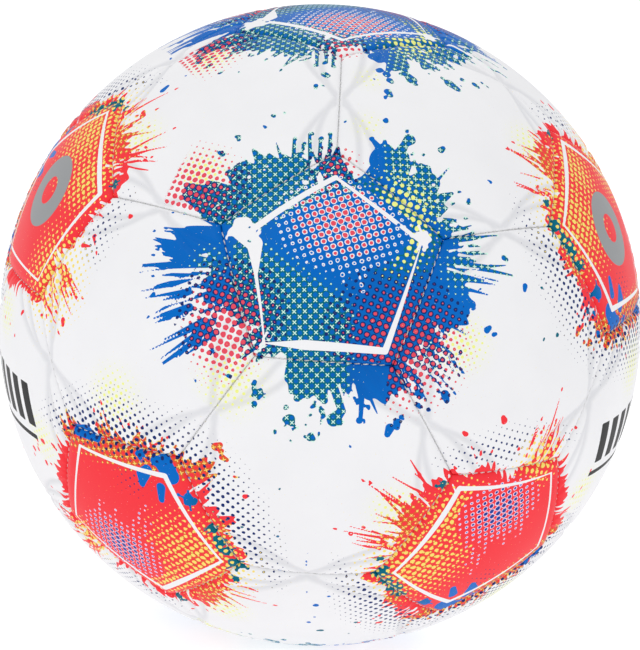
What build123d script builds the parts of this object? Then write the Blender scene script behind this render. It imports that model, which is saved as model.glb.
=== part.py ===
"""Size 5 soccer ball of 32 stitched panels, in millimetres.

Twelve five-sided and twenty six-sided cover panels are sewn edge to edge. Under each one lie a foam
pad and a textile backing. A rubber bladder fills the inside. It carries the inflation valve and,
opposite it, a patch that balances the valve's weight.

The origin is the ball's centre. +Z runs up through the middle of a five-sided panel, and a second
one faces the front, -Y. Azimuths count from -Y towards +X, elevations from the XY plane.
"""

import os
from itertools import combinations
from math import asin, atan, cos, degrees, pi, radians, sin, sqrt, tan

from build123d import *

os.makedirs("parts", exist_ok=True)

# The ball, from the outside in.
ball_radius = 110.0
cover_thickness = 1.6
foam_thickness = 2.8
backing_thickness = 1.2
bladder_thickness = 1.0
glue_gap = 0.1

# Each panel's edge is turned in and sewn to its neighbour's.
seam_gap = 0.7
flange_thickness = 1.2
flange_end_radius = 103.6
rim_bevel = 1.5
thread_radius = 0.3
thread_depth = 3.0
thread_end_gap = 1.2

# The valve, which points out of the back.
valve_azimuth = 180.0
neck_radius = 4.5
neck_recess = 0.3
collar_radius = 6.5
stem_radius = 5.5
flange_radius = 16.0
valve_flange_thickness = 0.8
tube_radius = 4.6
tube_end_radius = 92.0
core_radius = 2.9
core_head_radius = 3.6
core_head_thickness = 1.2
core_end_radius = 93.0
core_clearance = 0.05
needle_radius = 1.05
needle_depth = 10.0
mouth_radius = 1.8
patch_thickness = 1.6

# Radii of the layers' faces.
foam_radius = ball_radius - cover_thickness - glue_gap
backing_radius = foam_radius - foam_thickness - glue_gap
backing_inner_radius = backing_radius - backing_thickness
bladder_radius = 103.0
bladder_inner_radius = bladder_radius - bladder_thickness

# A truncated icosahedron with edges of length 1 has its corners at this distance from its centre.
corner_distance = sqrt(58 + 18 * sqrt(5)) / 4
seam_angle = 2 * degrees(asin(0.5 / corner_distance))


def edge_angle(sides):
    """Angle at the ball's centre between a panel's middle and the middle of its edge, in degrees."""
    apothem = 0.5 / tan(pi / sides)
    circumradius = 0.5 / sin(pi / sides)
    return degrees(atan(apothem / sqrt(corner_distance**2 - circumradius**2)))


hex_edge_angle = edge_angle(6)
pent_edge_angle = edge_angle(5)
ring_elevation = degrees(atan(0.5))
cap_elevation = 90 - hex_edge_angle - pent_edge_angle
belt_elevation = hex_edge_angle + pent_edge_angle - ring_elevation


def direction(azimuth, elevation):
    """Unit vector from the ball's centre."""
    across = cos(radians(elevation))
    return Vector(
        across * sin(radians(azimuth)),
        -across * cos(radians(azimuth)),
        sin(radians(elevation)),
    )


def place(azimuth, elevation, turn=0):
    """Location at the ball's centre with Z out through a panel's middle and X up the panel."""
    plane = Plane(
        origin=(0, 0, 0),
        x_dir=direction(azimuth, elevation + 90),
        z_dir=direction(azimuth, elevation),
    )
    return plane.location * Location((0, 0, 0), (0, 0, turn))


def layer(sides, inset, outer, inner, bevel=0):
    """Part of a spherical layer over one panel, with its outer rim bevelled if asked.

    The panel's edges lie on planes through the ball's centre, and inset moves them inwards.
    """
    slope = edge_angle(sides)
    base_height = inner * 0.7
    apothem = base_height * tan(radians(slope)) - inset / cos(radians(slope))
    with BuildPart() as piece:
        with BuildSketch(Plane.XY.offset(base_height)):
            RegularPolygon(apothem, sides, major_radius=False, rotation=180 / sides)
        extrude(amount=outer * 1.2 - base_height, taper=-slope)
        Sphere(outer, rotation=(90, 0, 0), mode=Mode.INTERSECT)
        Sphere(inner, rotation=(90, 0, 0), mode=Mode.SUBTRACT)
        if bevel:
            on_outside = piece.edges().filter_by(lambda e: e.position_at(0.5).length > outer - 0.01)
            chamfer(on_outside, bevel)
    return piece.part


def cover(sides):
    """Cover panel: an outer skin with its edges turned in as sewing flanges."""
    space_inset = seam_gap / 2 + flange_thickness
    space_radius = ball_radius - cover_thickness
    with BuildPart() as piece:
        add(layer(sides, seam_gap / 2, ball_radius, flange_end_radius, rim_bevel))
        add(layer(sides, space_inset, space_radius, flange_end_radius * 0.9), mode=Mode.SUBTRACT)
    return piece.part


def filling(sides, outer, inner):
    """Flat-edged layer that fills the space between a cover panel's flanges."""
    return layer(sides, seam_gap / 2 + flange_thickness + glue_gap, outer, inner)


# Places of the panels, from the top down.
ring_steps = range(0, 360, 72)
pent_places = [place(0, 90)]
pent_places += [place(step, ring_elevation, turn=180) for step in ring_steps]
pent_places += [place(step + 36, -ring_elevation) for step in ring_steps]
pent_places += [place(0, -90)]

valve_place = place(valve_azimuth, belt_elevation)
hex_places = [place(step + 36, cap_elevation) for step in ring_steps]
hex_places += [place(step + 36, belt_elevation) for step in ring_steps if step + 36 != valve_azimuth]
hex_places += [place(step, -belt_elevation) for step in ring_steps]
hex_places += [place(step, -cap_elevation) for step in ring_steps]


def touching(one, other):
    """Whether two five-sided panels are nearest neighbours, one seam apart."""
    return 60 < one.get_angle(other) < 70


def corner(one, other):
    """Corner of the first five-sided panel that points at the second."""
    return (one * 2 + other).normalized()


def seam_place(start, end):
    """Location at the ball's centre with Z out through a seam's middle and X along the seam."""
    return Plane(origin=(0, 0, 0), x_dir=end - start, z_dir=start + end).location


pent_directions = [Plane(location).z_dir for location in pent_places]
hex_seams = [
    seam_place(corner(one, other), corner(other, one))
    for one, other in combinations(pent_directions, 2)
    if touching(one, other)
]
pent_seams = [
    seam_place(corner(middle, one), corner(middle, other))
    for middle in pent_directions
    for one, other in combinations(pent_directions, 2)
    if touching(middle, one) and touching(middle, other) and touching(one, other)
]


# Cover panels. The one that the valve comes through has a hole.
hex_cover = cover(6)
pent_cover = cover(5)

for number, location in enumerate(hex_places, 1):
    with BuildPart() as hex_panel:
        with Locations(location):
            add(hex_cover)
    hex_panel.part.label = f"hex_panel_{number:02d}"
    export_step(hex_panel.part, f"parts/hex_panel_{number:02d}.step")

for number, location in enumerate(pent_places, 1):
    with BuildPart() as pent_panel:
        with Locations(location):
            add(pent_cover)
    pent_panel.part.label = f"pent_panel_{number:02d}"
    export_step(pent_panel.part, f"parts/pent_panel_{number:02d}.step")


def valve_hole(radius):
    """Round hole on the valve's axis, for a part made at the valve's place."""
    Cylinder(radius, 2 * ball_radius, align=(Align.CENTER, Align.CENTER, Align.MIN), mode=Mode.SUBTRACT)


with BuildPart() as valve_panel:
    with Locations(valve_place):
        add(hex_cover)
        valve_hole(neck_radius + glue_gap)
valve_panel.part.label = "valve_panel"
export_step(valve_panel.part, "parts/valve_panel.step")


# Foam pads and textile backings behind the cover panels.
hex_pad = filling(6, foam_radius, foam_radius - foam_thickness)
pent_pad = filling(5, foam_radius, foam_radius - foam_thickness)
hex_ply = filling(6, backing_radius, backing_inner_radius)
pent_ply = filling(5, backing_radius, backing_inner_radius)

with BuildPart() as hex_foam_pads:
    with Locations(hex_places):
        add(hex_pad)
hex_foam_pads.part.label = "hex_foam_pads"
export_step(hex_foam_pads.part, "parts/hex_foam_pads.step")

with BuildPart() as pent_foam_pads:
    with Locations(pent_places):
        add(pent_pad)
pent_foam_pads.part.label = "pent_foam_pads"
export_step(pent_foam_pads.part, "parts/pent_foam_pads.step")

with BuildPart() as valve_foam_pad:
    with Locations(valve_place):
        add(hex_pad)
        valve_hole(collar_radius + glue_gap)
valve_foam_pad.part.label = "valve_foam_pad"
export_step(valve_foam_pad.part, "parts/valve_foam_pad.step")

with BuildPart() as hex_backings:
    with Locations(hex_places):
        add(hex_ply)
hex_backings.part.label = "hex_backings"
export_step(hex_backings.part, "parts/hex_backings.step")

with BuildPart() as pent_backings:
    with Locations(pent_places):
        add(pent_ply)
pent_backings.part.label = "pent_backings"
export_step(pent_backings.part, "parts/pent_backings.step")

with BuildPart() as valve_backing:
    with Locations(valve_place):
        add(hex_ply)
        valve_hole(collar_radius + glue_gap)
valve_backing.part.label = "valve_backing"
export_step(valve_backing.part, "parts/valve_backing.step")


# Sewing thread, one length in each seam, between the two flanges.
thread_path_radius = ball_radius - thread_depth
thread_angle = seam_angle - 2 * degrees(thread_end_gap / thread_path_radius)
thread_start = Location((0, 0, 0), (0, -thread_angle / 2, 0))

with BuildPart() as thread:
    with BuildSketch(Plane.YZ):
        with Locations((0, thread_path_radius)):
            Circle(thread_radius)
    revolve(axis=Axis.Y, revolution_arc=thread_angle)

with BuildPart() as hex_seam_threads:
    with Locations([seam * thread_start for seam in hex_seams]):
        add(thread.part)
hex_seam_threads.part.label = "hex_seam_threads"
export_step(hex_seam_threads.part, "parts/hex_seam_threads.step")

with BuildPart() as pent_seam_threads:
    with Locations([seam * thread_start for seam in pent_seams]):
        add(thread.part)
pent_seam_threads.part.label = "pent_seam_threads"
export_step(pent_seam_threads.part, "parts/pent_seam_threads.step")


# Bladder, with the hole that the valve's stem fills.
with BuildPart() as bladder:
    with Locations(valve_place):
        Sphere(bladder_radius)
        Sphere(bladder_inner_radius, mode=Mode.SUBTRACT)
        valve_hole(stem_radius + glue_gap)
bladder.part.label = "bladder"
export_step(bladder.part, "parts/bladder.step")


# The valve and the balance patch are turned about the valve's axis. Their half sections lie on a
# plane where X is the distance from that axis and Y the distance from the ball's centre along it.
valve_plane = Plane(valve_place)
valve_axis = Axis((0, 0, 0), valve_plane.z_dir)
section_plane = Plane(origin=(0, 0, 0), x_dir=valve_plane.x_dir, z_dir=-valve_plane.y_dir)
face_height = ball_radius - neck_recess
seat_height = face_height - core_head_thickness
collar_top = sqrt((ball_radius - cover_thickness) ** 2 - collar_radius**2) - glue_gap
collar_bottom = bladder_radius + glue_gap
glued_radius = bladder_inner_radius - glue_gap


def band(radius, low, high, mode=Mode.ADD):
    """Half section of a disc or a hole between two heights on the valve's axis."""
    with Locations((0, low)):
        Rectangle(radius, high - low, align=Align.MIN, mode=mode)


def cap_band(radius, outer, inner, side=1):
    """Half section of a domed disc between two spheres, on one side of the ball."""
    Circle(outer)
    Circle(inner, mode=Mode.SUBTRACT)
    with Locations((radius / 2, side * outer / 2)):
        Rectangle(radius, outer, mode=Mode.INTERSECT)


with BuildPart() as valve_housing:
    with BuildSketch(section_plane):
        cap_band(flange_radius, glued_radius, glued_radius - valve_flange_thickness)
        band(tube_radius, tube_end_radius, glued_radius)
        band(stem_radius, glued_radius - valve_flange_thickness, collar_bottom)
        band(collar_radius, collar_bottom, collar_top)
        band(neck_radius, collar_top, face_height)
        band(core_radius + core_clearance, 0, face_height, mode=Mode.SUBTRACT)
        band(core_head_radius + core_clearance, seat_height, face_height, mode=Mode.SUBTRACT)
    revolve(axis=valve_axis)
valve_housing.part.label = "valve_housing"
export_step(valve_housing.part, "parts/valve_housing.step")

# Rubber core that can be pulled out and replaced. The needle goes in through its flared mouth.
mouth_height = face_height - (mouth_radius - needle_radius)
with BuildPart() as valve_core:
    with BuildSketch(section_plane):
        band(core_radius, core_end_radius, seat_height + core_clearance)
        band(core_head_radius, seat_height + core_clearance, face_height)
        band(needle_radius, mouth_height - needle_depth, face_height, mode=Mode.SUBTRACT)
        with BuildLine():
            Polyline(
                (0, mouth_height),
                (needle_radius, mouth_height),
                (mouth_radius, face_height),
                (0, face_height),
                close=True,
            )
        make_face(mode=Mode.SUBTRACT)
    revolve(axis=valve_axis)
valve_core.part.label = "valve_core"
export_step(valve_core.part, "parts/valve_core.step")

with BuildPart() as balance_patch:
    with BuildSketch(section_plane):
        cap_band(flange_radius, glued_radius, glued_radius - patch_thickness, side=-1)
    revolve(axis=valve_axis)
balance_patch.part.label = "balance_patch"
export_step(balance_patch.part, "parts/balance_patch.step")
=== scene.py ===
"""Looks of a stitched size 5 soccer ball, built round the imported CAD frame.

Each cover panel is a padded mesh with a rolled rim, puckered stitching and embossed grooves. The
print is drawn as signed distances in millimetres, kept on the panels' points, and the material turns
them into ink, halftone dots and small crosses.
"""

import math

import bpy
import numpy as np
from mathutils import Matrix, Vector


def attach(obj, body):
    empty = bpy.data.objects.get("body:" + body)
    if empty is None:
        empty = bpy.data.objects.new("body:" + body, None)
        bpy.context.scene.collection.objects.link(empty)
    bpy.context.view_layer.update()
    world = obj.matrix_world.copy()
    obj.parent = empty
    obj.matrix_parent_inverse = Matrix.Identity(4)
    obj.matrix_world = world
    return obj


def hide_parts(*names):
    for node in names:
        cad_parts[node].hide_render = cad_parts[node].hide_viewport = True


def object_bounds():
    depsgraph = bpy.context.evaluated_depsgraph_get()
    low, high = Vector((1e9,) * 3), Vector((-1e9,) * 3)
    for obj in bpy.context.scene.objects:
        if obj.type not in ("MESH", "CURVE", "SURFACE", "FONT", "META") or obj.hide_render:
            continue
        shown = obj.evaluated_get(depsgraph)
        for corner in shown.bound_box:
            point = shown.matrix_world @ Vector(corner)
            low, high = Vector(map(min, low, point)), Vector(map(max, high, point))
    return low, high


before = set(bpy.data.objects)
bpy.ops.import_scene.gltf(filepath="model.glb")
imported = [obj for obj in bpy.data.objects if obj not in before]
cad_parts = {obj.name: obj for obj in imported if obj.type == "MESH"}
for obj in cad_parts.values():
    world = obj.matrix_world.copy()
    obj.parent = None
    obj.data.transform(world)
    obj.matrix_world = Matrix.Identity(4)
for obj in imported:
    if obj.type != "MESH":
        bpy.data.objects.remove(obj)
cad_low, cad_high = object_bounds()

# ---- sizes, in millimetres
MM = 0.001
BALL = round((cad_high.z - cad_low.z) / 2 / MM)
COVER = 1.6
RIM_WIDTH = 3.6
RIM_DEPTH = 1.6
SEAM_HALF_GAP = 0.13
FLANGE_DEPTH = 5.0
STITCH_PITCH = 2.7
STITCH_LENGTH = 2.1
STITCH_RADIUS = 0.27
STITCH_DEPTH = 1.1
PUCKER = 0.2
GROOVE_WIDTH = 4.2
GROOVE_DEPTH = 0.55
DOT_PITCH = 2.4
HOLE_RADIUS = 4.6
HOLE_LIP = 0.7
FINE = 80  # mesh steps from a panel's middle to its rim, and along each of its edges
COARSE = 10  # the same, on a panel's hidden underside
HOLE_STEP = 10  # the step at which the valve's hole begins

# ---- camera and light
CAMERA_AZIMUTH = -1.1
CAMERA_ELEVATION = 16.15
CAMERA_ROLL = 4.15
CAMERA_DISTANCE = 1323 * MM
CAMERA_LENS = 213.0


def direction(azimuth, elevation):
    """Unit vector from the ball's centre. Azimuths count from -Y towards +X."""
    a, e = math.radians(azimuth), math.radians(elevation)
    return np.array([math.sin(a) * math.cos(e), -math.cos(a) * math.cos(e), math.sin(e)])


def make_camera():
    data = bpy.data.cameras.new("camera")
    data.lens = CAMERA_LENS
    data.sensor_width = 36
    data.clip_end = 20
    camera = bpy.data.objects.new("camera", data)
    bpy.context.scene.collection.objects.link(camera)
    back = Vector(direction(CAMERA_AZIMUTH, CAMERA_ELEVATION))
    camera.location = back * CAMERA_DISTANCE
    camera.rotation_mode = "QUATERNION"
    turn = (-back).to_track_quat("-Z", "Y").to_matrix() @ Matrix.Rotation(math.radians(CAMERA_ROLL), 3, "Z")
    camera.rotation_quaternion = turn.to_quaternion()
    bpy.context.scene.camera = camera


def make_light(name, azimuth, elevation, distance, size, power):
    data = bpy.data.lights.new(name, "AREA")
    data.shape = "DISK"
    data.size = size
    data.energy = power
    light = bpy.data.objects.new(name, data)
    bpy.context.scene.collection.objects.link(light)
    back = Vector(direction(azimuth, elevation))
    light.location = back * distance
    light.rotation_mode = "QUATERNION"
    light.rotation_quaternion = (-back).to_track_quat("-Z", "Y")


make_camera()
make_light("key_light", -42, 50, 1.3, 0.8, 2.6)
make_light("side_light", 55, 28, 1.4, 0.8, 1.2)
make_light("back_light", 175, 45, 1.6, 1.2, 3)

world = bpy.data.worlds.new("studio")
bpy.context.scene.world = world
world.use_nodes = True
world.node_tree.nodes["Background"].inputs["Color"].default_value = (1.0, 1.0, 1.0, 1)
world.node_tree.nodes["Background"].inputs["Strength"].default_value = 0.8
bpy.context.scene.view_settings.view_transform = "Standard"


# ---- material helpers
def srgb(red, green, blue):
    """Linear colour, with alpha, from the 0 to 255 values that a screen shows."""
    def linear(value):
        value /= 255
        return value / 12.92 if value <= 0.04045 else ((value + 0.055) / 1.055) ** 2.4

    return (linear(red), linear(green), linear(blue), 1.0)


class Shader:
    """A material and short ways to add nodes to it. Values are sockets or plain numbers."""

    def __init__(self, name):
        self.material = bpy.data.materials.new(name)
        self.material.use_nodes = True
        self.tree = self.material.node_tree
        self.bsdf = self.tree.nodes["Principled BSDF"]

    def put(self, socket, value):
        if isinstance(value, bpy.types.NodeSocket):
            self.tree.links.new(value, socket)
        elif value is not None:
            socket.default_value = value

    def math(self, operation, a, b=None):
        node = self.tree.nodes.new("ShaderNodeMath")
        node.operation = operation
        for socket, value in zip(node.inputs, (a, b)):
            self.put(socket, value)
        return node.outputs[0]

    def mix(self, factor, a, b):
        """Colour a at factor 0, colour b at factor 1."""
        node = self.tree.nodes.new("ShaderNodeMix")
        node.data_type = "RGBA"
        self.put(node.inputs["Factor"], factor)
        self.put(node.inputs[6], a)
        self.put(node.inputs[7], b)
        return node.outputs[2]

    def over(self, value, edge=0.0):
        """1 where the value is above the edge."""
        return self.math("GREATER_THAN", value, edge)

    def parts(self, vector):
        node = self.tree.nodes.new("ShaderNodeSeparateXYZ")
        self.put(node.inputs[0], vector)
        return node.outputs

    def attribute(self, name):
        node = self.tree.nodes.new("ShaderNodeAttribute")
        node.attribute_name = name
        return node.outputs["Vector"]

    def place(self):
        return self.tree.nodes.new("ShaderNodeTexCoord").outputs["Object"]

    def noise(self, scale, detail=2.0):
        node = self.tree.nodes.new("ShaderNodeTexNoise")
        self.put(node.inputs["Vector"], self.place())
        node.inputs["Scale"].default_value = scale
        node.inputs["Detail"].default_value = detail
        return node.outputs["Fac"]

    def voronoi(self, scale):
        node = self.tree.nodes.new("ShaderNodeTexVoronoi")
        self.put(node.inputs["Vector"], self.place())
        node.inputs["Scale"].default_value = scale
        return node.outputs["Distance"]

    def wave(self, scale, axis):
        node = self.tree.nodes.new("ShaderNodeTexWave")
        node.bands_direction = axis
        self.put(node.inputs["Vector"], self.place())
        node.inputs["Scale"].default_value = scale
        return node.outputs["Fac"]

    def spread(self, value, low, high, to_low, to_high):
        """The value's range from low to high laid over another range, held at its ends."""
        node = self.tree.nodes.new("ShaderNodeMapRange")
        for socket, number in zip(node.inputs, (value, low, high, to_low, to_high)):
            self.put(socket, number)
        return node.outputs[0]

    def bump(self, height, depth, under=None):
        """Bump of a height from 0 to 1 that is depth millimetres deep."""
        node = self.tree.nodes.new("ShaderNodeBump")
        self.put(node.inputs["Height"], height)
        node.inputs["Distance"].default_value = depth * MM
        node.inputs["Strength"].default_value = 1.0
        self.put(node.inputs["Normal"], under)
        self.tree.links.new(node.outputs[0], self.bsdf.inputs["Normal"])
        return node.outputs[0]

    def finish(self, color, roughness, **sockets):
        self.put(self.bsdf.inputs["Base Color"], color)
        self.put(self.bsdf.inputs["Roughness"], roughness)
        for name, value in sockets.items():
            self.put(self.bsdf.inputs[name.replace("_", " ")], value)
        return self.material


# ---- the printed cover
WHITE = srgb(238, 238, 240)
# A grey for the white's random mottle, and for the painted shade in the grooves.
GREY_MOTTLE_AND_SHADE = srgb(206, 207, 212)
BLUE = srgb(0, 104, 194)
TEAL = srgb(4, 104, 126)
CORAL = srgb(243, 56, 65)
ORANGE = srgb(216, 92, 46)
NAVY = srgb(22, 46, 108)
MINT = srgb(206, 244, 226)
PALE = srgb(238, 242, 140)
YELLOW = srgb(246, 222, 112)
ROSE = srgb(228, 78, 96)
GREY = srgb(150, 152, 154)
BLACK = srgb(24, 24, 26)
DOT_TURN = -18  # degrees that each halftone screen is turned by
RING_TURN = 21
SLANTED_TURN = 50
UPRIGHT_TURN = 5
CROSS_HALF_WIDTH = 0.15
CROSS_REACH = 0.8
FLECK = 1.62  # radius of a dot that leaves only the corners of its cell


def cover_material():
    """Coated synthetic leather. The points' attributes say where each ink lies, in millimetres, and how far
    into an embossed groove each point lies; the grooves are darkened with painted shade.
    """
    s = Shader("printed_cover")
    x, y, red = s.parts(s.attribute("print_place"))
    base, over, line = s.parts(s.attribute("ink"))
    main, ring, pale = s.parts(s.attribute("dots"))
    slanted, upright, haze = s.parts(s.attribute("marks"))
    black, grey, groove = s.parts(s.attribute("extra"))
    blue = s.math("SUBTRACT", 1.0, red)

    def screen(turn, shift=0.5):
        """Place within a cell of a halftone screen, in millimetres from the cell's middle."""
        a = math.radians(turn)
        cell = []
        for p, q in ((math.cos(a), math.sin(a)), (-math.sin(a), math.cos(a))):
            from_x, from_y = s.math("MULTIPLY", x, p / DOT_PITCH), s.math("MULTIPLY", y, q / DOT_PITCH)
            along = s.math("ADD", s.math("ADD", from_x, from_y), shift)
            place = s.math("SUBTRACT", s.math("FRACT", along), 0.5)
            cell.append(s.math("MULTIPLY", place, DOT_PITCH))
        return cell

    def reach(cell):
        """Distance from the cell's middle."""
        squares = s.math("ADD", s.math("MULTIPLY", cell[0], cell[0]), s.math("MULTIPLY", cell[1], cell[1]))
        return s.math("SQRT", squares)

    def cross(cell, size):
        """Small cross along the screen's own directions, its arms as long as size."""
        p, q = s.math("ABSOLUTE", cell[0]), s.math("ABSOLUTE", cell[1])
        thin = s.math("LESS_THAN", s.math("MINIMUM", p, q), CROSS_HALF_WIDTH)
        short = s.math("LESS_THAN", s.math("MAXIMUM", p, q), s.math("MULTIPLY", size, CROSS_REACH))
        return s.math("MULTIPLY", thin, short)

    def within(distance, radius):
        return s.math("LESS_THAN", distance, radius)

    def share(value, scale, shift=0.0):
        return s.math("ADD", s.math("MULTIPLY", value, scale), shift)

    rough_edge = s.spread(s.noise(1100, 1.0), 0.3, 0.7, -0.1, 0.1)
    to_main = s.math("ADD", reach(screen(DOT_TURN)), rough_edge)
    to_ring = s.math("ADD", reach(screen(RING_TURN)), rough_edge)
    to_haze = reach(screen(DOT_TURN, 0.0))
    slanted_gap = reach(screen(SLANTED_TURN, 0.0))
    upright_gap = reach(screen(UPRIGHT_TURN, 0.0))

    color = s.mix(s.spread(s.noise(60, 3.0), 0.3, 0.7, 0.0, 0.1), WHITE, GREY_MOTTLE_AND_SHADE)
    # Painted shade: inside the embossed grooves the colour is darkened towards grey, on top of their real
    # depth.
    color = s.mix(s.math("MULTIPLY", groove, 0.5), color, GREY_MOTTLE_AND_SHADE)
    color = s.mix(s.math("MULTIPLY", haze, 0.2), color, PALE)
    color = s.mix(within(to_haze, share(haze, 0.85)), color, PALE)
    ink = s.mix(red, BLUE, CORAL)
    ink = s.mix(s.spread(s.noise(30, 4.0), 0.4, 0.75, 0.0, 0.22), ink, s.mix(red, NAVY, CORAL))
    second = s.mix(red, TEAL, ORANGE)
    for gap, mark, depth in ((slanted_gap, slanted, -0.94), (upright_gap, upright, -0.9)):
        strength = s.math("ABSOLUTE", mark)
        ground = s.math("MULTIPLY", s.over(strength, 0.01), s.over(gap, share(strength, depth, FLECK)))
        ink = s.mix(ground, ink, second)
    color = s.mix(s.over(base), color, ink)
    inked = s.over(base, -0.35)
    for turn, mark in ((SLANTED_TURN, slanted), (UPRIGHT_TURN, upright)):
        color = s.mix(s.math("MULTIPLY", inked, cross(screen(turn), mark)), color, s.mix(red, MINT, YELLOW))
    on_blue = s.math("MULTIPLY", blue, inked)
    surround = s.math("MULTIPLY", s.over(main, 0.02), share(main, 0.85, 0.38))
    color = s.mix(within(to_main, s.math("MULTIPLY", surround, on_blue)), color, NAVY)
    dot = s.math("SUBTRACT", share(main, 1.15, -0.1), s.math("MULTIPLY", on_blue, 0.2))
    color = s.mix(within(to_main, dot), color, s.mix(red, ROSE, NAVY))
    to_side = s.math("MULTIPLY", s.spread(x, 8, 18, 0, 1), s.spread(x, 41, 44, 1, 0))
    color = s.mix(s.over(over), color, s.mix(to_side, BLUE, TEAL))
    color = s.mix(within(to_main, pale), color, s.mix(red, PALE, YELLOW))
    color = s.mix(within(to_ring, share(ring, 0.9)), color, s.mix(red, WHITE, srgb(232, 208, 232)))
    core = s.mix(s.over(ring, 0.82), BLUE, s.mix(red, ROSE, srgb(30, 62, 150)))
    color = s.mix(within(to_ring, share(ring, 0.98, -0.38)), color, core)
    color = s.mix(s.over(line), color, WHITE)
    dots_on_line = s.math("MULTIPLY", within(to_main, dot), s.over(main, 0.55))
    color = s.mix(s.math("MULTIPLY", dots_on_line, red), color, NAVY)
    color = s.mix(s.over(grey), color, GREY)
    color = s.mix(s.over(black), color, BLACK)

    grain = s.bump(s.noise(1400, 3.0), 0.016)
    s.bump(s.voronoi(1900), 0.006, under=grain)
    gloss = s.spread(s.noise(45, 4.0), 0.3, 0.7, 0.34, 0.42)
    return s.finish(color, gloss, Specular_IOR_Level=0.06)


# ---- shape of the ball
GOLDEN_TILT = math.degrees(math.atan(0.5))
CORNER_DISTANCE = math.sqrt(58 + 18 * math.sqrt(5)) / 4
SEAM_LENGTH = 2 * math.asin(0.5 / CORNER_DISTANCE) * BALL


def edge_slope(sides):
    """Tangent of the angle between a panel's middle and the middle of its edge."""
    apothem = 0.5 / math.tan(math.pi / sides)
    circumradius = 0.5 / math.sin(math.pi / sides)
    return apothem / math.sqrt(CORNER_DISTANCE**2 - circumradius**2)


HEX_TILT = math.degrees(math.atan(edge_slope(6)))
PENT_TILT = math.degrees(math.atan(edge_slope(5)))
CAP = 90 - HEX_TILT - PENT_TILT
BELT = HEX_TILT + PENT_TILT - GOLDEN_TILT


def panel_frame(azimuth, elevation, turn=0.0):
    """Rows X, Y, Z of a panel: Z out through its middle and X towards the middle of an edge."""
    out, up = direction(azimuth, elevation), direction(azimuth, elevation + 90)
    side = np.cross(out, up)
    t = math.radians(turn)
    x_axis = up * math.cos(t) + side * math.sin(t)
    return np.array([x_axis, np.cross(out, x_axis), out])


STEPS = range(0, 360, 72)
PENTS = [panel_frame(0, 90)]
PENTS += [panel_frame(step, GOLDEN_TILT, 180) for step in STEPS]
PENTS += [panel_frame(step + 36, -GOLDEN_TILT) for step in STEPS]
PENTS += [panel_frame(0, -90)]
PENT_MIDDLES = np.array([pent[2] for pent in PENTS])

# Each six-sided panel, and how far its first seam with another six-sided one is turned from X.
HEXES = [(panel_frame(step + 36, CAP), 60) for step in STEPS]
HEXES += [(panel_frame(step + 36, BELT), 0) for step in STEPS if step + 36 != 180]
HEXES += [(panel_frame(step, -BELT), 60) for step in STEPS]
HEXES += [(panel_frame(step, -CAP), 0) for step in STEPS]
HEXES += [(panel_frame(180, BELT), 0)]
HEX_NAMES = [f"hex_panel_{number:02d}" for number in range(1, 20)] + ["valve_panel"]


def smooth(value):
    value = np.clip(value, 0, 1)
    return value * value * (3 - 2 * value)


# ---- the print, in millimetres
NO_INK = -9.0


def blank(x):
    return np.full_like(x, NO_INK)


def joined(*inks):
    """All the shapes together."""
    return np.maximum.reduce(inks)


def cut(ink, *holes):
    return np.minimum(ink, -joined(*holes))


def spot(x, y, cx, cy, radius):
    """1 at a centre, falling smoothly to 0 at a radius."""
    return smooth(1 - np.hypot(x - cx, y - cy) / radius)


def stroke(x, y, x0, y0, x1, y1, start, end):
    """Signed distance into a tapered stroke, positive inside."""
    dx, dy = x1 - x0, y1 - y0
    along = np.clip(((x - x0) * dx + (y - y0) * dy) / (dx * dx + dy * dy + 1e-9), 0, 1)
    return start + (end - start) * along - np.hypot(x - x0 - along * dx, y - y0 - along * dy)


def five_sided(x, y, apothem):
    """Signed distance into a five-sided outline with a corner at +Y."""
    inside = np.full_like(x, 1e3)
    for side in range(5):
        a = math.radians(126 + 72 * side)
        inside = np.minimum(inside, apothem - x * math.cos(a) - y * math.sin(a))
    return inside


def ripple(angle, rng, cycles, height):
    """Smooth random wave round the outline."""
    wave = np.zeros_like(angle)
    for cycle in cycles:
        wave += rng.normal(0, 1) * np.cos(cycle * angle) + rng.normal(0, 1) * np.sin(cycle * angle)
    return wave * height / math.sqrt(len(cycles))


APOTHEM = math.radians(PENT_TILT) * BALL  # from a five-sided panel's middle to its seams


def polyline(x, y, places, widths):
    """Signed distance into a brush line through places, with a half width at each of them."""
    ink = blank(x)
    for (x0, y0), (x1, y1), start, end in zip(places[:-1], places[1:], widths[:-1], widths[1:]):
        ink = np.maximum(ink, stroke(x, y, x0, y0, x1, y1, start, end))
    return ink


def outline(x, y, rng, corners, widths):
    """Hand-drawn outline with its corners at the given radii and three half widths along each side."""
    line = blank(x)
    for side in range(5):
        places = []
        for k in (0, 1):
            a = math.radians(90 + 72 * (side + k))
            radius = corners[(side + k) % 5]
            places.append(np.array([radius * math.cos(a), radius * math.sin(a)]))
        along = places[1] - places[0]
        bow = rng.uniform(-0.5, 0.5) * np.array([-along[1], along[0]]) / np.linalg.norm(along)
        bent = [places[0], places[0] + along / 3 + bow, places[0] + along * 2 / 3 + bow, places[1]]
        start, middle, end = widths[side]
        line = np.maximum(line, polyline(x, y, bent, (start, middle, (middle + end) / 2, end)))
    return line


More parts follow.
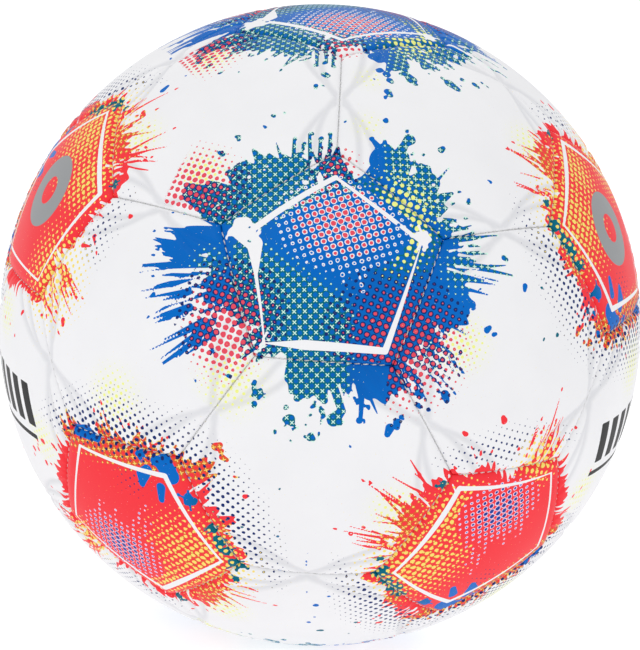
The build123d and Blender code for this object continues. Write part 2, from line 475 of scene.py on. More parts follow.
def splashes(x, y, rng, sectors, count, near, far, width, lean=0.12):
    """Spikes thrown outwards in the given sectors, each (start, end) in degrees."""
    ink = blank(x)
    for _ in range(count):
        low, high = sectors[rng.integers(len(sectors))]
        a = math.radians(rng.uniform(low, high))
        aim = a + rng.normal(0, lean)
        begin = rng.uniform(near - 6, near + 3)
        length = rng.uniform(0.25, 1.0) ** 1.6 * (far - near)
        thick = rng.uniform(0.5, 1.0) * width
        x0, y0 = begin * math.cos(a), begin * math.sin(a)
        x1, y1 = x0 + length * math.cos(aim), y0 + length * math.sin(aim)
        ink = np.maximum(ink, stroke(x, y, x0, y0, x1, y1, thick, 0.22))
        if rng.random() < 0.3:
            gap = rng.uniform(1.2, 3.5)
            x0, y0 = x1 + gap * math.cos(aim), y1 + gap * math.sin(aim)
            ink = np.maximum(ink, stroke(x, y, x0, y0, x0 + math.cos(aim), y0 + math.sin(aim), 0.5, 0.3))
    return ink


def droplets(x, y, rng, count, near, far, size, sectors=((0, 360),)):
    """Loose oval drops, mostly small."""
    ink = blank(x)
    for _ in range(count):
        low, high = sectors[rng.integers(len(sectors))]
        a, r = math.radians(rng.uniform(low, high)), rng.uniform(near, far)
        radius = size * (0.35 + 0.65 * rng.random() ** 3)
        aim, long = a + rng.normal(0, 0.6), radius * rng.uniform(0.2, 1.6)
        x0, y0 = r * math.cos(a), r * math.sin(a)
        x1, y1 = x0 + long * math.cos(aim), y0 + long * math.sin(aim)
        ink = np.maximum(ink, stroke(x, y, x0, y0, x1, y1, radius, radius * 0.7))
    return ink


def blob(x, y, rng, cx, cy, radius, arms):
    """Round splash with a few short arms that end in beads."""
    angle = np.arctan2(y - cy, x - cx)
    ink = radius + ripple(angle, rng, (2, 3, 4, 5), 0.12 * radius) - np.hypot(x - cx, y - cy)
    for _ in range(arms):
        a, length = rng.uniform(0, 2 * math.pi), radius * rng.uniform(1.2, 1.8)
        x1, y1 = cx + length * math.cos(a), cy + length * math.sin(a)
        ink = np.maximum(ink, stroke(x, y, cx, cy, x1, y1, radius * 0.3, radius * 0.1))
        ink = np.maximum(ink, rng.uniform(0.14, 0.3) * radius - np.hypot(x - x1, y - y1))
    return ink


def drips(x, y, rng, columns, top, length, radius):
    """Runs of ink down from given places, or up for a negative length."""
    ink = blank(x)
    for column in columns:
        end = top - length * rng.uniform(0.4, 1.0)
        lean = rng.normal(0, 0.5)
        ink = np.maximum(ink, stroke(x, y, column, top, column + lean, end, radius, radius * 0.7))
        ink = np.maximum(ink, rng.uniform(0.9, 1.4) * radius - np.hypot(x - column, y - end))
    return ink


def ragged(x, y, rng, spill):
    """Signed distance into the ink's main patch. spill gives (degrees, mm past the seam) round it."""
    angle = np.arctan2(y, x)
    degrees = np.degrees(angle) % 360
    stops = sorted(spill)
    stops = [(stops[-1][0] - 360, stops[-1][1])] + stops + [(stops[0][0] + 360, stops[0][1])]
    past = np.interp(degrees, [stop[0] for stop in stops], [stop[1] for stop in stops])
    past = past + (ripple(angle, rng, range(7, 17), 1.2) + ripple(angle, rng, range(24, 100, 4), 1.1))
    return five_sided(x, y, APOTHEM) + past


def fade(value, low, high):
    """0 at low, rising smoothly to 1 at high."""
    return smooth((value - low) / (high - low))


def blue_print(x, y, rng):
    """Blue splash with a halftone of crosses, coral dots and white rings. +Y is a corner."""
    spill = [(0, 13), (18, 7), (33, 11), (49, 13), (62, 9), (72, 3), (80, -3), (98, -3), (107, 7)]
    spill += [(120, 11), (134, 12), (146, 13), (152, 18), (157, 17), (161, 5), (164, 3), (167, 12)]
    spill += [(174, 15), (186, 14), (194, 11), (200, 7), (210, 4), (222, 2), (236, -1), (244, -1)]
    spill += [(250, 2), (256, 11), (266, 11), (280, 9), (296, 10), (303, 7), (309, 2), (320, 5)]
    spill += [(334, 13), (346, 16)]
    base = joined(
        ragged(x, y, rng, spill),
        blob(x, y, rng, 17, 37, 6.0, 3),
        blob(x, y, rng, 29, 35, 2.6, 2),
        polyline(x, y, ((19, 38), (22, 43.5), (24, 46)), (1.6, 1.2, 2.1)),
        polyline(x, y, ((4, -40), (7, -47), (4.5, -50)), (1.4, 1.3, 2.3)),
        blob(x, y, rng, -10, -51, 2.0, 3),
        blob(x, y, rng, -21, -43, 2.0, 3),
        drips(x, y, rng, (-14, -11, -8.5, -5.5, -2.6), 34, -12, 0.75),
        drips(x, y, rng, (-8, 1, 13), -38, 13, 1.0),
        splashes(x, y, rng, ((168, 216),), 34, 46, 70, 1.2, 0.1),
        splashes(x, y, rng, ((166, 192),), 18, 46, 64, 2.3, 0.12),
        splashes(x, y, rng, ((-6, 18),), 16, 44, 64, 1.2, 0.1),
        splashes(x, y, rng, ((304, 338),), 34, 40, 58, 0.6, 0.08),
        splashes(x, y, rng, ((20, 66), (104, 164), (256, 296)), 30, 41, 51, 0.8, 0.3),
        droplets(x, y, rng, 46, 44, 60, 1.3),
        droplets(x, y, rng, 22, 44, 58, 2.0, ((20, 75), (240, 320))),
    )
    base = cut(
        base,
        splashes(x, y, rng, ((312, 336), (2, 20), (176, 206)), 34, 44, 62, 0.8, 0.1),
        splashes(x, y, rng, ((204, 236),), 16, 36, 48, 0.9, 0.12),
        droplets(x, y, rng, 18, 36, 46, 1.1, ((104, 165), (20, 60), (255, 300))),
    )

    corners = (28.8, 28.2, 33, 33, 30.5)
    widths = ((0.85, 0.95, 1.1), (0.9, 0.6, 0.25), (0.15, 1.6, 1.1), (1.1, 0.75, 0.12), (0.6, 0.75, 0.5))
    line = joined(
        outline(x, y, rng, corners, widths),
        blob(x, y, rng, -29, 10, 4.0, 3),
        polyline(x, y, ((-29, 9), (-24.5, 5), (-23.5, -4)), (3.0, 2.6, 0.8)),
        blob(x, y, rng, 29.5, 11, 2.5, 5),
        splashes(x, y, rng, ((100, 112),), 5, 33, 37, 1.2),
    )
    line = cut(line, droplets(x, y, rng, 10, 25, 34, 1.0, ((158, 176), (25, 60))))

    top = 0.85 * spot(x, y, 0, 33, 12) ** 0.7
    lower_right = 0.9 * fade(np.hypot(x - 25, y + 24), 34, 6)
    lower_right = np.where((y < -30.5) & (x < 21), 0, lower_right)
    left = 0.95 * spot(x, y, -31, -18, 21) ** 0.5 + 0.4 * spot(x, y, -34, -33, 20)
    upper_left = 0.95 * spot(x, y, -47, 24, 23) ** 0.6 * (y + 0.325 * x > 0.8)
    main = joined(top, lower_right, np.minimum(left, 0.92), upper_left)
    main = np.where((main > 0.14) & (x * 0.9 + y < 30), main, np.where(top > 0.2, top, 0))

    near_ring = np.hypot((x - 3) / 1.3, y - 14)
    ring = 1.26 * smooth(1 - near_ring / 21) ** 0.42
    ring = np.where(ring > 0.45, ring, 0)
    for column, end in ((3.5, -5), (10.0, -8), (14.5, 1)):
        run = stroke(x, y, column, 12, column + 0.6, end, 1.1, 1.1)
        ring = np.maximum(ring, np.where(run > 0, 0.8, 0))
    ring = np.where(x * 0.5 + y * 0.87 < 27, ring, 0)

    pale = 0.92 * fade(np.hypot(x - 22, (y - 16) / 1.4), 19, 3)
    pale = np.where((pale > 0.12) & (ring == 0), pale, 0)

    lower_left = fade(-x * 0.5 - y * 0.87, 1, 13) * fade(x, 12, 5) * fade(x, -34, -29)
    upper = fade(y * 0.87 - x * 0.5, 17, 24) * fade(x, 6, -2) * (y + 0.325 * x > 0)
    upper = np.maximum(upper, 0.9 * spot(x, y, 1, 31, 13) ** 0.5)
    slanted = joined(lower_left, upper, 0.7 * spot(x, y, 34, -28, 11), 0.8 * spot(x, y, -39, -2, 11))
    slanted = np.where((slanted > 0.1) & (pale < 0.3), slanted, 0)
    upright = fade(x * 0.59 + y * 0.81, 31, 36) * fade(x, 12, 20) + 0.9 * spot(x, y, 44, 2, 13)
    # Below 0 it turns the ground teal and draws no crosses.
    without_crosses = -0.9 * (pale > 0.12) * spot(x, y, 22, 16, 26) ** 0.5
    upright = np.where(upright > 0.1, np.minimum(upright, 1), without_crosses)

    haze = 0.8 * joined(spot(x, y, -44, 30, 14), spot(x, y, -30, -40, 18), spot(x, y, 46, -22, 15))
    haze = np.maximum(haze, 0.5 * spot(x, y, 10, 50, 9))
    return base, blank(x), line, main, ring, pale, slanted, upright, haze


def red_print(x, y, rng, emblem):
    """Coral splash with yellow dots, blue blobs and a navy halftone that fades out on the white."""
    radius = np.hypot(x, y)
    spill = [(0, 1), (18, 2), (36, 3), (54, 7), (72, 7), (90, 3), (100, 1), (108, 3), (126, 2), (144, 3)]
    spill += [(162, 1), (180, 3), (198, 4), (216, 2), (234, 1), (252, 0), (270, 0), (288, 1), (306, 2)]
    spill += [(324, 7), (342, 8)]
    base = joined(
        ragged(x, y, rng, spill),
        splashes(x, y, rng, ((0, 360),), 22, 37, 43, 0.9, 0.3),
        splashes(x, y, rng, ((316, 364), (236, 262)), 46, 38, 55, 0.65, 0.2),
        splashes(x, y, rng, ((96, 140),), 18, 36, 45, 0.6, 0.35),
        droplets(x, y, rng, 22, 40, 52, 1.5, ((56, 84), (190, 360))),
    )
    base = cut(base, splashes(x, y, rng, ((62, 74), (106, 140), (290, 330)), 20, 37, 46, 0.6, 0.1))

    over = joined(
        polyline(x, y, ((-5.5, 31.5), (-2.5, 33), (1.5, 31)), (1.8, 3.4, 3.2)),
        polyline(x, y, ((-6, 26.5), (-6.3, 23.5), (-4.8, 20)), (1.9, 2.5, 1.2)),
        polyline(x, y, ((1, 24.5), (3.5, 20)), (1.7, 1.1)),
        blob(x, y, rng, 11, 27.5, 2.4, 3),
        blob(x, y, rng, -11, 29, 1.7, 3),
        polyline(x, y, ((-34, 13.5), (-30, 17.5), (-26, 19)), (2.1, 2.6, 1.2)),
    )
    beads = ((22.5, 22, 1.8), (27, 18, 2.5), (31, 15.5, 2.0), (35.5, 11.5, 2.6), (38, 4, 1.4))
    beads += ((25.5, -28, 1.6),)
    for cx, cy, size in beads:
        over = np.maximum(over, blob(x, y, rng, cx, cy, size, 5))
    over = joined(
        over,
        droplets(x, y, rng, 9, 30, 44, 1.2, ((20, 120),)),
        droplets(x, y, rng, 9, 50, 70, 1.4, ((0, 66),)),
    )

    corners = (29.5, 31.5, 33, 33, 32.5)
    widths = ((1.0, 0.75, 0.5), (0.55, 0.4, 0.4), (0.2, 0.5, 0.9), (1.0, 1.1, 0.5), (0.45, 0.6, 0.95))
    line = outline(x, y, rng, corners, widths)

    upper = fade(y * 0.81 - x * 0.59, 22, 31) * fade(radius, 60, 36)
    right = fade(x * 0.59 + y * 0.81, 31, 38) * fade(radius, 64, 38)
    below = fade(-y, 30, 38) * fade(radius, 56, 40)
    main = joined(0.7 * upper, 0.66 * right, 0.5 * below, 0.4 * spot(x, y, -8, 18, 14))
    main = np.where(main > 0.15, main, 0)

    ring = np.zeros_like(x)
    if not emblem:
        ring = 1.3 * smooth(1 - np.hypot(x / 1.25, y + 16) / 17) ** 0.5
        ring = np.where(ring > 0.42, ring, 0)
        for column, end in ((-12, -3), (-7, 0), (1, 12), (5, 7), (10, -2)):
            run = stroke(x, y, column, -14, column - 1, end, 1.1, 1.1)
            ring = np.maximum(ring, np.where(run > 0, 0.62, 0))

    pale = joined(
        spot(x, y, 24, 6, 27), spot(x, y, 17, -16, 18), 0.5 * spot(x, y, 10, 0, 12),
        spot(x, y, -12, -33, 24 if emblem else 15),
    )
    pale = np.where((pale > 0.04) & (ring == 0), 0.84 * pale ** 0.5, 0)
    slanted = fade(y * 0.81 - x * 0.59, 20, 27) * fade(y * 0.81 - x * 0.59, 44, 36)
    slanted = joined(slanted, 0.9 * spot(x, y, 37, -12, 15) ** 0.6, 0.8 * spot(x, y, 25, 24, 9))
    slanted = np.where(slanted > 0.1, slanted, 0)
    upright = np.where(pale > 0.2, 0.62 * fade(pale, 0.2, 0.9), 0)
    haze = 0.75 * joined(spot(x, y, -30, 38, 16), spot(x, y, -44, -10, 14), spot(x, y, 40, -18, 14))
    return base, over, line, main, ring, pale, slanted, upright, haze


# Which five-sided panels are blue, which neighbour each one's first corner points at, which are
# mirrored, and which carry the grey ring. Panels opposite each other have the same colour.
BLUE_PANELS = (0, 1, 8, 11)
POINTS_AT = (1, 0, 6, 8, 9, 4, 11, 8, 11, 8, 1, 8)
MIRRORED = (0, 11)
EMBLEM_PANELS = (2, 5)
EMBLEM_RADII = (5.0, 13.0)
BAR_PANELS = (10, 13)  # six-sided panels with the plain bars
PRINT_SEED = 410


def print_frame(number):
    """Rows X, Y of a five-sided panel's print, and its middle."""
    middle = PENT_MIDDLES[number]
    up = PENT_MIDDLES[POINTS_AT[number]] - middle * (PENT_MIDDLES[POINTS_AT[number]] @ middle)
    up /= np.linalg.norm(up)
    side = np.cross(up, middle)
    return (-side if number in MIRRORED else side), up, middle


def print_on(points):
    """The print's attributes at points of the unit sphere, each by its nearest five-sided panel."""
    nearest = np.argmax(points @ PENT_MIDDLES.T, axis=1)
    layers = np.zeros((len(points), 9))
    layers[:, :3] = NO_INK
    place = np.zeros((len(points), 3))
    grey = np.full(len(points), NO_INK)
    for number in np.unique(nearest):
        side, up, middle = print_frame(number)
        near = nearest == number
        own = points[near]
        angle = np.arccos(np.clip(own @ middle, -1, 1))
        x, y = own @ side, own @ up
        flat = np.hypot(x, y) + 1e-12
        x, y = x / flat * angle * BALL, y / flat * angle * BALL
        rng = np.random.default_rng(PRINT_SEED + 7 * int(number))
        if number in BLUE_PANELS:
            layers[near] = np.array(blue_print(x, y, rng)).T
        else:
            layers[near] = np.array(red_print(x, y, rng, number in EMBLEM_PANELS)).T
        place[near] = np.stack([x, y, np.full_like(x, number not in BLUE_PANELS)], axis=1)
        if number in EMBLEM_PANELS:
            radius = np.hypot(x, y)
            grey[near] = np.minimum(EMBLEM_RADII[1] - radius, radius - EMBLEM_RADII[0])
    return layers, place, grey


def side_bars(x, y):
    """Plain slanted bars over a thin one, in millimetres from a panel's middle."""
    ink = blank(x)
    for step in range(-2, 3):
        lean = x - 9.0 * step - 0.18 * y
        ink = np.maximum(ink, np.minimum(2.9 - np.abs(lean), 7.5 - np.abs(y - 1)))
    return np.maximum(ink, np.minimum(21.0 - np.abs(x), 0.9 - np.abs(y + 10.5)))


# ---- panel meshes
def quad_curve(start, pull, end):
    """Places along a curve from start to end, drawn towards pull."""
    t = np.linspace(0, 1, 22)[:, None]
    return (1 - t) ** 2 * start + 2 * t * (1 - t) * pull + t * t * end


def groove_curves(slope, first):
    """Embossed curves of a six-sided panel, on the plane at height 1, meeting at the seams' middles."""
    length = 2 * slope * math.tan(math.pi / 6)
    curves = []
    for turn in (first, first + 120, first + 240):
        a = math.radians(turn)
        out, along = np.array([math.cos(a), math.sin(a)]), np.array([-math.sin(a), math.cos(a)])
        middle = out * slope
        for side in (1, -1):
            corner = middle + side * along * length / 2
            for share, shift in ((0.2, -0.018), (0.37, 0.018)):
                x_axis, y_axis = -side * along, -out
                start = corner + x_axis * length * (0.5 - shift * 1.2)
                rise = share * math.sin(math.radians(120))
                pull = corner + length * (x_axis * (0.5 - rise) + y_axis * rise)
                end = corner + length * (x_axis * share * math.cos(math.radians(120)) + y_axis * rise)
                curves.append(quad_curve(start, pull, end))
    return curves


def distance_to(points, curve):
    """Distance from each point to a curve of straight runs."""
    best = np.full(len(points), 1e3)
    for start, end in zip(curve[:-1], curve[1:]):
        line = end - start
        t = np.clip(((points - start) @ line) / (line @ line), 0, 1)
        best = np.minimum(best, np.linalg.norm(points - start - t[:, None] * line, axis=1))
    return best


def fan(sides, steps, hole):
    """Rings of a panel from its middle out: (ring, side, share along the side) of each point, and the
    triangles between them. With a hole, the rings start at that step."""
    index, points, faces = {}, [], []
    if not hole:
        index[0, 0] = 0
        points.append((0, 0, 0.0))
    for ring in range(max(hole, 1), steps + 1):
        for number in range(sides * ring):
            index[ring, number] = len(points)
            points.append((ring, number // ring, (number % ring) / ring))
    for ring in range(hole, steps):
        outer, inner = sides * (ring + 1), sides * ring
        for side in range(sides):
            for step in range(ring + 1):
                a = index[ring + 1, side * (ring + 1) + step]
                b = index[ring + 1, (side * (ring + 1) + step + 1) % outer]
                c = index[ring, (side * ring + step) % inner] if ring else index[0, 0]
                faces.append((a, b, c))
                if step < ring:
                    d = index[ring, (side * ring + step + 1) % inner]
                    faces.append((b, d, c))
    return np.array(points), faces


def flat_points(sides, slope, fans, steps, hole, hole_radius):
    """Places of a fan's points on the plane at height 1, closer together near the rim."""
    ring, side, share = fans[:, 0], fans[:, 1], fans[:, 2]
    start = np.radians(360 / sides * (side - 0.5))
    end = start + 2 * math.pi / sides
    radius = slope / math.cos(math.pi / sides)
    edge = np.stack([
        radius * (np.cos(start) * (1 - share) + np.cos(end) * share),
        radius * (np.sin(start) * (1 - share) + np.sin(end) * share),
    ], axis=1)
    if not hole:
        t = ring / steps
        return edge * (t * (1 + 0.4 * (1 - t)))[:, None]
    t = (ring - hole) / (steps - hole)
    t = t * (1 + 0.3 * (1 - t))
    angle = start + share * 2 * math.pi / sides
    circle = hole_radius * np.stack([np.cos(angle), np.sin(angle)], axis=1)
    return circle * (1 - t)[:, None] + edge * t[:, None]


def cover_depth(flat, sides, slope, curves):
    """How far the cover lies under the ball's crown at points on the plane at height 1, in millimetres."""
    unit = np.concatenate([flat, np.ones((len(flat), 1))], axis=1)
    unit /= np.linalg.norm(unit, axis=1)[:, None]
    tilt = math.atan(slope)
    nearest, along = np.full(len(flat), 1e3), np.zeros(len(flat))
    for side in range(sides):
        a = 2 * math.pi * side / sides
        inward = np.array([-math.cos(a) * math.cos(tilt), -math.sin(a) * math.cos(tilt), math.sin(tilt)])
        beside = np.array([-math.sin(a), math.cos(a), 0])
        distance = np.arcsin(np.clip(unit @ inward, -1, 1)) * BALL
        closer = distance < nearest
        nearest = np.where(closer, distance, nearest)
        along = np.where(closer, np.arcsin(np.clip(unit @ beside, -1, 1)) * BALL, along)
    nearest = np.maximum(nearest, 0)
    reach = np.clip(1 - nearest / RIM_WIDTH, 0, 1)
    depth = RIM_DEPTH * (1 - np.sqrt(1 - reach**2.3))
    pull = 0.5 + 0.5 * np.cos(2 * math.pi * along / STITCH_PITCH)
    depth += PUCKER * pull * np.exp(-(nearest / 1.5) ** 2)
    groove = np.zeros(len(flat))
    for curve in curves:
        away = distance_to(flat, curve) * BALL
        groove = np.maximum(groove, smooth(1 - away / (GROOVE_WIDTH / 2)) * smooth(nearest / 1.2))
    return unit, depth + GROOVE_DEPTH * groove, groove


def bridge(fine, coarse):
    """Triangles between two closed loops whose counts divide evenly."""
    ratio = len(fine) // len(coarse)
    faces = []
    for j, corner in enumerate(coarse):
        following = coarse[(j + 1) % len(coarse)]
        for k in range(ratio):
            a, b = fine[j * ratio + k], fine[(j * ratio + k + 1) % len(fine)]
            faces.append((a, corner if k < ratio // 2 else following, b))
            if k == ratio // 2 - 1 or ratio == 1:
                faces.append((b, corner, following))
    return faces


def ring_faces(above, below):
    """Triangles down the wall of a hole, between two closed loops of as many points."""
    faces = []
    for i in range(len(above)):
        j = (i + 1) % len(above)
        faces += [(above[j], below[j], below[i]), (above[j], below[i], above[i])]
    return faces


def loop_of(fans, ring):
    """Indices of a ring's points."""
    return np.nonzero(fans[:, 0] == ring)[0].tolist()


def make_mesh(name, points, faces, material, smooth_faces=True):
    mesh = bpy.data.meshes.new(name)
    mesh.from_pydata(points, [], faces)
    mesh.materials.append(material)
    mesh.polygons.foreach_set("use_smooth", [smooth_faces] * len(mesh.polygons))
    mesh.update()
    piece = bpy.data.objects.new(name, mesh)
    bpy.context.scene.collection.objects.link(piece)
    return piece


def paint(mesh, name, values):
    """Three values at each point, for the material to read."""
    layer = mesh.attributes.new(name, "FLOAT_VECTOR", "POINT")
    layer.data.foreach_set("vector", np.ascontiguousarray(values, dtype=np.float32).ravel())


FANS = {}


def cached_fan(sides, steps, hole):
    if (sides, steps, hole) not in FANS:
        FANS[sides, steps, hole] = fan(sides, steps, hole)
    return FANS[sides, steps, hole]


def panel(name, node, sides, axes, material, curves=(), hole=False, bars=False):
    """Closed, padded cover panel that stands for a CAD node."""
    slope = edge_slope(sides)
    step = HOLE_STEP if hole else 0
    fans, faces = cached_fan(sides, FINE, step)
    faces = list(faces)
    flat = flat_points(sides, slope, fans, FINE, step, math.tan((HOLE_RADIUS + HOLE_LIP) / BALL))
    unit, depth, groove = cover_depth(flat, sides, slope, curves)

    # The rim turns in and runs down beside its neighbour's.
    inward = 1 - SEAM_HALF_GAP / (slope * BALL)
    rim = loop_of(fans, FINE)
    unit_world = unit @ axes
    rows = [unit_world * (BALL - depth)[:, None]]
    skin = [unit_world]
    narrow = np.concatenate([flat[rim] * inward, np.ones((len(rim), 1))], axis=1)
    narrow = narrow / np.linalg.norm(narrow, axis=1)[:, None] @ axes
    above, count = rim, len(fans)
    for drop in (RIM_DEPTH + 0.5, RIM_DEPTH + 1.6, FLANGE_DEPTH):
        rows.append(narrow * (BALL - drop))
        skin.append(unit_world[rim])
        below = list(range(count, count + len(rim)))
        for i in range(len(rim)):
            j = (i + 1) % len(rim)
            faces += [(above[i], below[i], below[j]), (above[i], below[j], above[j])]
        above, count = below, count + len(rim)

    # The underside is a dome of its own, joined to the rim and to the hole.
    under_steps = 2 * HOLE_STEP if hole else COARSE
    under_fans, under_faces = cached_fan(sides, under_steps, step)
    under = flat_points(sides, slope, under_fans, under_steps, step, 1.05 * HOLE_RADIUS / BALL)
    under = under * (1 - 1.3 / (slope * BALL))
    under = np.concatenate([under, np.ones((len(under), 1))], axis=1)
    under = under / np.linalg.norm(under, axis=1)[:, None] @ axes
    rows.append(under * (BALL - COVER - GROOVE_DEPTH))
    skin.append(under)
    faces += [(a + count, c + count, b + count) for a, b, c in under_faces]
    faces += bridge(above, [i + count for i in loop_of(under_fans, under_steps)])
    if hole:
        under_lip = [i + count for i in loop_of(under_fans, step)]
        count += len(under)
        above = loop_of(fans, HOLE_STEP)
        lip = unit_world[above]
        angles = [math.atan2(flat[i][1], flat[i][0]) for i in above]
        for radius, drop in ((HOLE_RADIUS + 0.2, 0.25), (HOLE_RADIUS, 0.6)):
            ring = np.array([[math.cos(a) * radius, math.sin(a) * radius, BALL - drop] for a in angles])
            rows.append(ring @ axes)
            skin.append(lip)
            below = list(range(count, count + len(lip)))
            faces += ring_faces(above, below)
            above, count = below, count + len(lip)
        faces += ring_faces(above, under_lip)

    points = np.concatenate(rows) * MM
    piece = make_mesh(name, points.tolist(), faces, material)
    on_sphere = np.concatenate(skin)
    layers, place, grey = print_on(on_sphere)
    black = np.full(len(on_sphere), NO_INK)
    if bars:
        black = side_bars(on_sphere @ axes[1] * BALL, on_sphere @ axes[0] * BALL)
    paint(piece.data, "ink", layers[:, 0:3])
    paint(piece.data, "dots", layers[:, 3:6])
    paint(piece.data, "marks", layers[:, 6:9])
    groove = np.concatenate([groove, np.zeros(len(on_sphere) - len(groove))])
    # The groove share, last, darkens the cover's colour there as painted shade.
    paint(piece.data, "extra", np.stack([black, grey, groove], axis=1))
    paint(piece.data, "print_place", place)
    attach(piece, "ball")
    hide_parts(node)
    return piece


cover = cover_material()
for number, (axes, first) in enumerate(HEXES):
    node = HEX_NAMES[number]
    piece = panel(
        node + "_skin", node, 6, axes, cover,
        groove_curves(edge_slope(6), first), hole=node == "valve_panel", bars=number in BAR_PANELS,
    )
for number, axes in enumerate(PENTS):
    node = f"pent_panel_{number + 1:02d}"
    piece = panel(node + "_skin", node, 5, axes, cover)


# ---- stitches
def thread_material():
    s = Shader("waxed_thread")
    twist = s.noise(2600, 2.0)
    s.bump(twist, 0.05)
    color = s.mix(s.spread(twist, 0.35, 0.65, 0, 1), srgb(226, 226, 224), srgb(168, 168, 170))
    return s.finish(color, s.spread(twist, 0.3, 0.7, 0.5, 0.7), Sheen_Weight=0.2)


def stitch_tube(path, radius):
    """Points and faces of a short closed tube along a path of places."""
    points, faces, sides = [], [], 6
    for i, place in enumerate(path):
        ahead = path[min(i + 1, len(path) - 1)] - path[max(i - 1, 0)]
        ahead = ahead / np.linalg.norm(ahead)
        up = place / np.linalg.norm(place)
        side = np.cross(ahead, up)
        side /= np.linalg.norm(side)
        up = np.cross(side, ahead)
        for k in range(sides):
            a = 2 * math.pi * k / sides
            points.append(place + radius * (math.cos(a) * side + math.sin(a) * up))
    for i in range(len(path) - 1):
        for k in range(sides):
            a, b = i * sides + k, i * sides + (k + 1) % sides
            faces.append((a, a + sides, b + sides, b))
    faces.append(tuple(range(sides)))
    faces.append(tuple(range((len(path) - 1) * sides, len(path) * sides))[::-1])
    return points, faces


def seams():
    """(corner, corner) of every seam: those between six-sided panels, and those round five-sided ones."""
    def corner(i, j):
        place = 2 * PENT_MIDDLES[i] + PENT_MIDDLES[j]
        return place / np.linalg.norm(place)

    beside = PENT_MIDDLES @ PENT_MIDDLES.T
    near = [[j for j in range(12) if 0.4 < beside[i, j] < 0.5] for i in range(12)]
    hexes = [(corner(i, j), corner(j, i)) for i in range(12) for j in near[i] if i < j]
    pents = []
    for i in range(12):
        for j in near[i]:
            pents += [(corner(i, j), corner(i, k)) for k in near[i] if j < k and k in near[j]]
    return hexes, pents


# (Share of the stitch's length from its middle, millimetres below its top there.)
STITCH_SHAPE = ((-0.62, 1.5), (-0.5, 0.35), (-0.25, 0.04), (0.25, 0.0), (0.5, 0.35), (0.62, 1.5))


def stitches(name, node, runs, material, rng):
    """Separate stitches along the seams, standing for a CAD node. Their ends dip between the panels."""
    points, faces = [], []
    for start, end in runs:
        middle = (start + end) / np.linalg.norm(start + end)
        along = (end - start) / np.linalg.norm(end - start)
        across = np.cross(middle, along)
        count = int((SEAM_LENGTH - 2.4) / STITCH_PITCH / 2)
        for number in range(-count, count + 1):
            centre = number * STITCH_PITCH
            path = []
            for t, drop in STITCH_SHAPE:
                angle = (centre + t * STITCH_LENGTH + rng.normal(0, 0.03)) / BALL
                place = middle * math.cos(angle) + along * math.sin(angle) + across * 0.42 * t / BALL
                path.append(place / np.linalg.norm(place) * (BALL - STITCH_DEPTH - STITCH_RADIUS - drop))
            some_points, some_faces = stitch_tube(path, STITCH_RADIUS)
            faces += [tuple(i + len(points) for i in face) for face in some_faces]
            points += some_points
    piece = make_mesh(name, (np.array(points) * MM).tolist(), faces, material)
    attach(piece, "ball")
    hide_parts(node)


thread = thread_material()
hex_runs, pent_runs = seams()
stitch_rng = np.random.default_rng(77)
stitches("hex_seam_stitches", "hex_seam_threads", hex_runs, thread, stitch_rng)
stitches("pent_seam_stitches", "pent_seam_threads", pent_runs, thread, stitch_rng)


# ---- pieces inside, and the valve
def foam_material():
    s = Shader("closed_cell_foam")
    cells = s.voronoi(900)
    s.bump(cells, 0.25)
    color = s.mix(s.spread(cells, 0.0, 0.6, 0, 1), srgb(214, 204, 168), srgb(238, 232, 206))
    return s.finish(color, s.spread(s.noise(200), 0.3, 0.7, 0.8, 0.95))


def textile_material():
    s = Shader("woven_backing")
    weave = s.math("MAXIMUM", s.wave(420, "X"), s.wave(420, "Z"))
    s.bump(weave, 0.12)
    color = s.mix(weave, srgb(180, 176, 164), srgb(236, 232, 220))
    return s.finish(color, s.spread(s.noise(300), 0.3, 0.7, 0.75, 0.95), Sheen_Weight=0.3)


def rubber_material(name, dark, light, fine=700, shine=0.45):
    s = Shader(name)
    mottle = s.noise(fine, 4.0)
    s.bump(mottle, 0.03)
    color = s.mix(s.spread(s.noise(70, 5.0), 0.35, 0.7, 0, 1), dark, light)
    return s.finish(color, s.spread(mottle, 0.3, 0.7, shine, shine + 0.15))


foam = foam_material()
textile = textile_material()
bladder_rubber = rubber_material("bladder_rubber", srgb(36, 36, 38), srgb(56, 56, 58))
valve_rubber = rubber_material("valve_rubber", srgb(38, 38, 41), srgb(60, 60, 63), 1500, 0.42)
core_rubber = rubber_material("core_rubber", srgb(176, 176, 172), srgb(208, 208, 202), 1500, 0.38)
FINISHES = {
    "hex_foam_pads": foam, "pent_foam_pads": foam, "valve_foam_pad": foam,
    "hex_backings": textile, "pent_backings": textile, "valve_backing": textile,
    "bladder": bladder_rubber, "balance_patch": bladder_rubber,
}
for node, finish in FINISHES.items():
    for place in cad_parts[node].material_slots:
        place.material = finish


AROUND = 96  # faces round a turned piece


def lathe(name, node, body, profile, material):
    """Turned piece on the valve's axis, standing for a CAD node. The profile gives (distance from the
    axis, distance from the ball's centre) anticlockwise. Where it touches the axis the piece closes."""
    axes = panel_frame(180, BELT)
    points, rings = [], []
    for radius, height in profile:
        count = AROUND if radius else 1
        rings.append(range(len(points), len(points) + count))
        for k in range(count):
            a = 2 * math.pi * k / AROUND
            points.append(np.array([radius * math.cos(a), radius * math.sin(a), height]) @ axes)
    faces = []
    for low, high in zip(rings, rings[1:] + rings[:1]):
        for k in range(AROUND):
            following = (k + 1) % AROUND
            if len(low) == len(high) == AROUND:
                faces.append((low[k], low[following], high[following], high[k]))
            elif len(high) == AROUND:
                faces.append((low[0], high[following], high[k]))
            elif len(low) == AROUND:
                faces.append((low[k], low[following], high[0]))
    piece = make_mesh(name, (np.array(points) * MM).tolist(), faces, material)
    piece.data.set_sharp_from_angle(angle=math.radians(35))
    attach(piece, body)
    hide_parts(node)


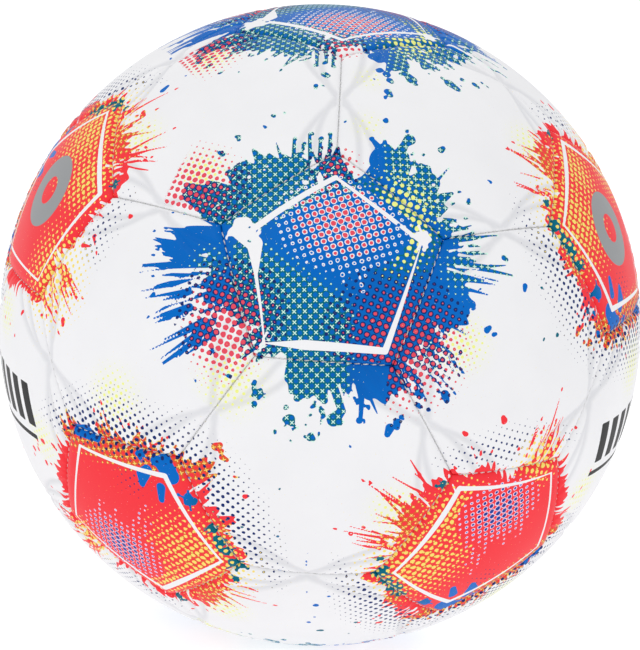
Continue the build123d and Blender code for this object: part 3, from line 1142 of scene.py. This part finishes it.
def domed(radii, sphere):
    """Profile places on a sphere round the ball's centre."""
    return [(radius, math.sqrt(sphere**2 - radius**2)) for radius in radii]


FACE = BALL - 0.3  # the valve's outer face, just below the ball's surface
SEAT = FACE - 1.2  # where the core's head sits in its housing
BORE, SEAT_RADIUS = 2.95, 3.65
TUBE, STEM, COLLAR, NECK, FLANGE = 4.6, 5.5, 6.5, 4.5, 16.0
SHANK, HEAD, NEEDLE = 2.9, 3.6, 1.05

housing_profile = [(BORE, 92.0), (TUBE - 0.3, 92.0), (TUBE, 92.3), (TUBE, 100.7)]
housing_profile += domed((5.0, 8.0, 11.0, 14.0, 15.7), 101.1)
housing_profile += domed((FLANGE,), 101.4) + domed((FLANGE,), 101.6)
housing_profile += domed((15.7, 14.0, 11.0, 8.0, 5.9), 101.9)
housing_profile += [(STEM, 102.1), (STEM, 103.1), (COLLAR - 0.3, 103.1), (COLLAR, 103.4)]
housing_profile += [(COLLAR, 107.8), (COLLAR - 0.3, 108.1), (NECK, 108.1), (NECK, FACE - 0.35)]
housing_profile += [(NECK - 0.1, FACE - 0.1), (NECK - 0.3, FACE), (3.85, FACE), (3.7, FACE - 0.08)]
housing_profile += [(SEAT_RADIUS, FACE - 0.25), (SEAT_RADIUS, SEAT), (BORE, SEAT)]

core_profile = [(0, 93.0), (2.5, 93.0), (SHANK, 93.4), (SHANK, 108.55), (3.4, 108.55), (HEAD, 108.75)]
core_profile += [(HEAD, FACE - 0.3), (3.5, FACE - 0.08), (3.3, FACE), (3.0, FACE)]
core_profile += [(2.9, FACE - 0.18), (2.5, FACE - 0.18), (2.4, FACE), (1.9, FACE)]
core_profile += [(1.6, FACE - 0.12), (1.15, FACE - 0.6), (NEEDLE, FACE - 0.85), (NEEDLE, 98.95), (0, 98.95)]

lathe("valve_housing_turned", "valve_housing", "ball", housing_profile, valve_rubber)
lathe("valve_core_turned", "valve_core", "valve_core", core_profile, core_rubber)


# ---- floor
def make_floor():
    """Pale floor under the ball, that glows a little so that it shows hardly any shadow."""
    s = Shader("pale_floor")
    color = s.mix(s.spread(s.noise(3, 2.0), 0.3, 0.7, 0, 1), srgb(150, 150, 152), srgb(144, 144, 146))
    size, level = 6.0, cad_low.z
    corners = [(-size, -size, level), (size, -size, level), (size, size, level), (-size, size, level)]
    s.finish(
        color, 0.8,
        Emission_Color=(1.0, 1.0, 1.0, 1.0), Emission_Strength=0.84, Specular_IOR_Level=0.1,
    )
    floor = make_mesh("floor", corners, [(0, 1, 2, 3)], s.material, False)


make_floor()
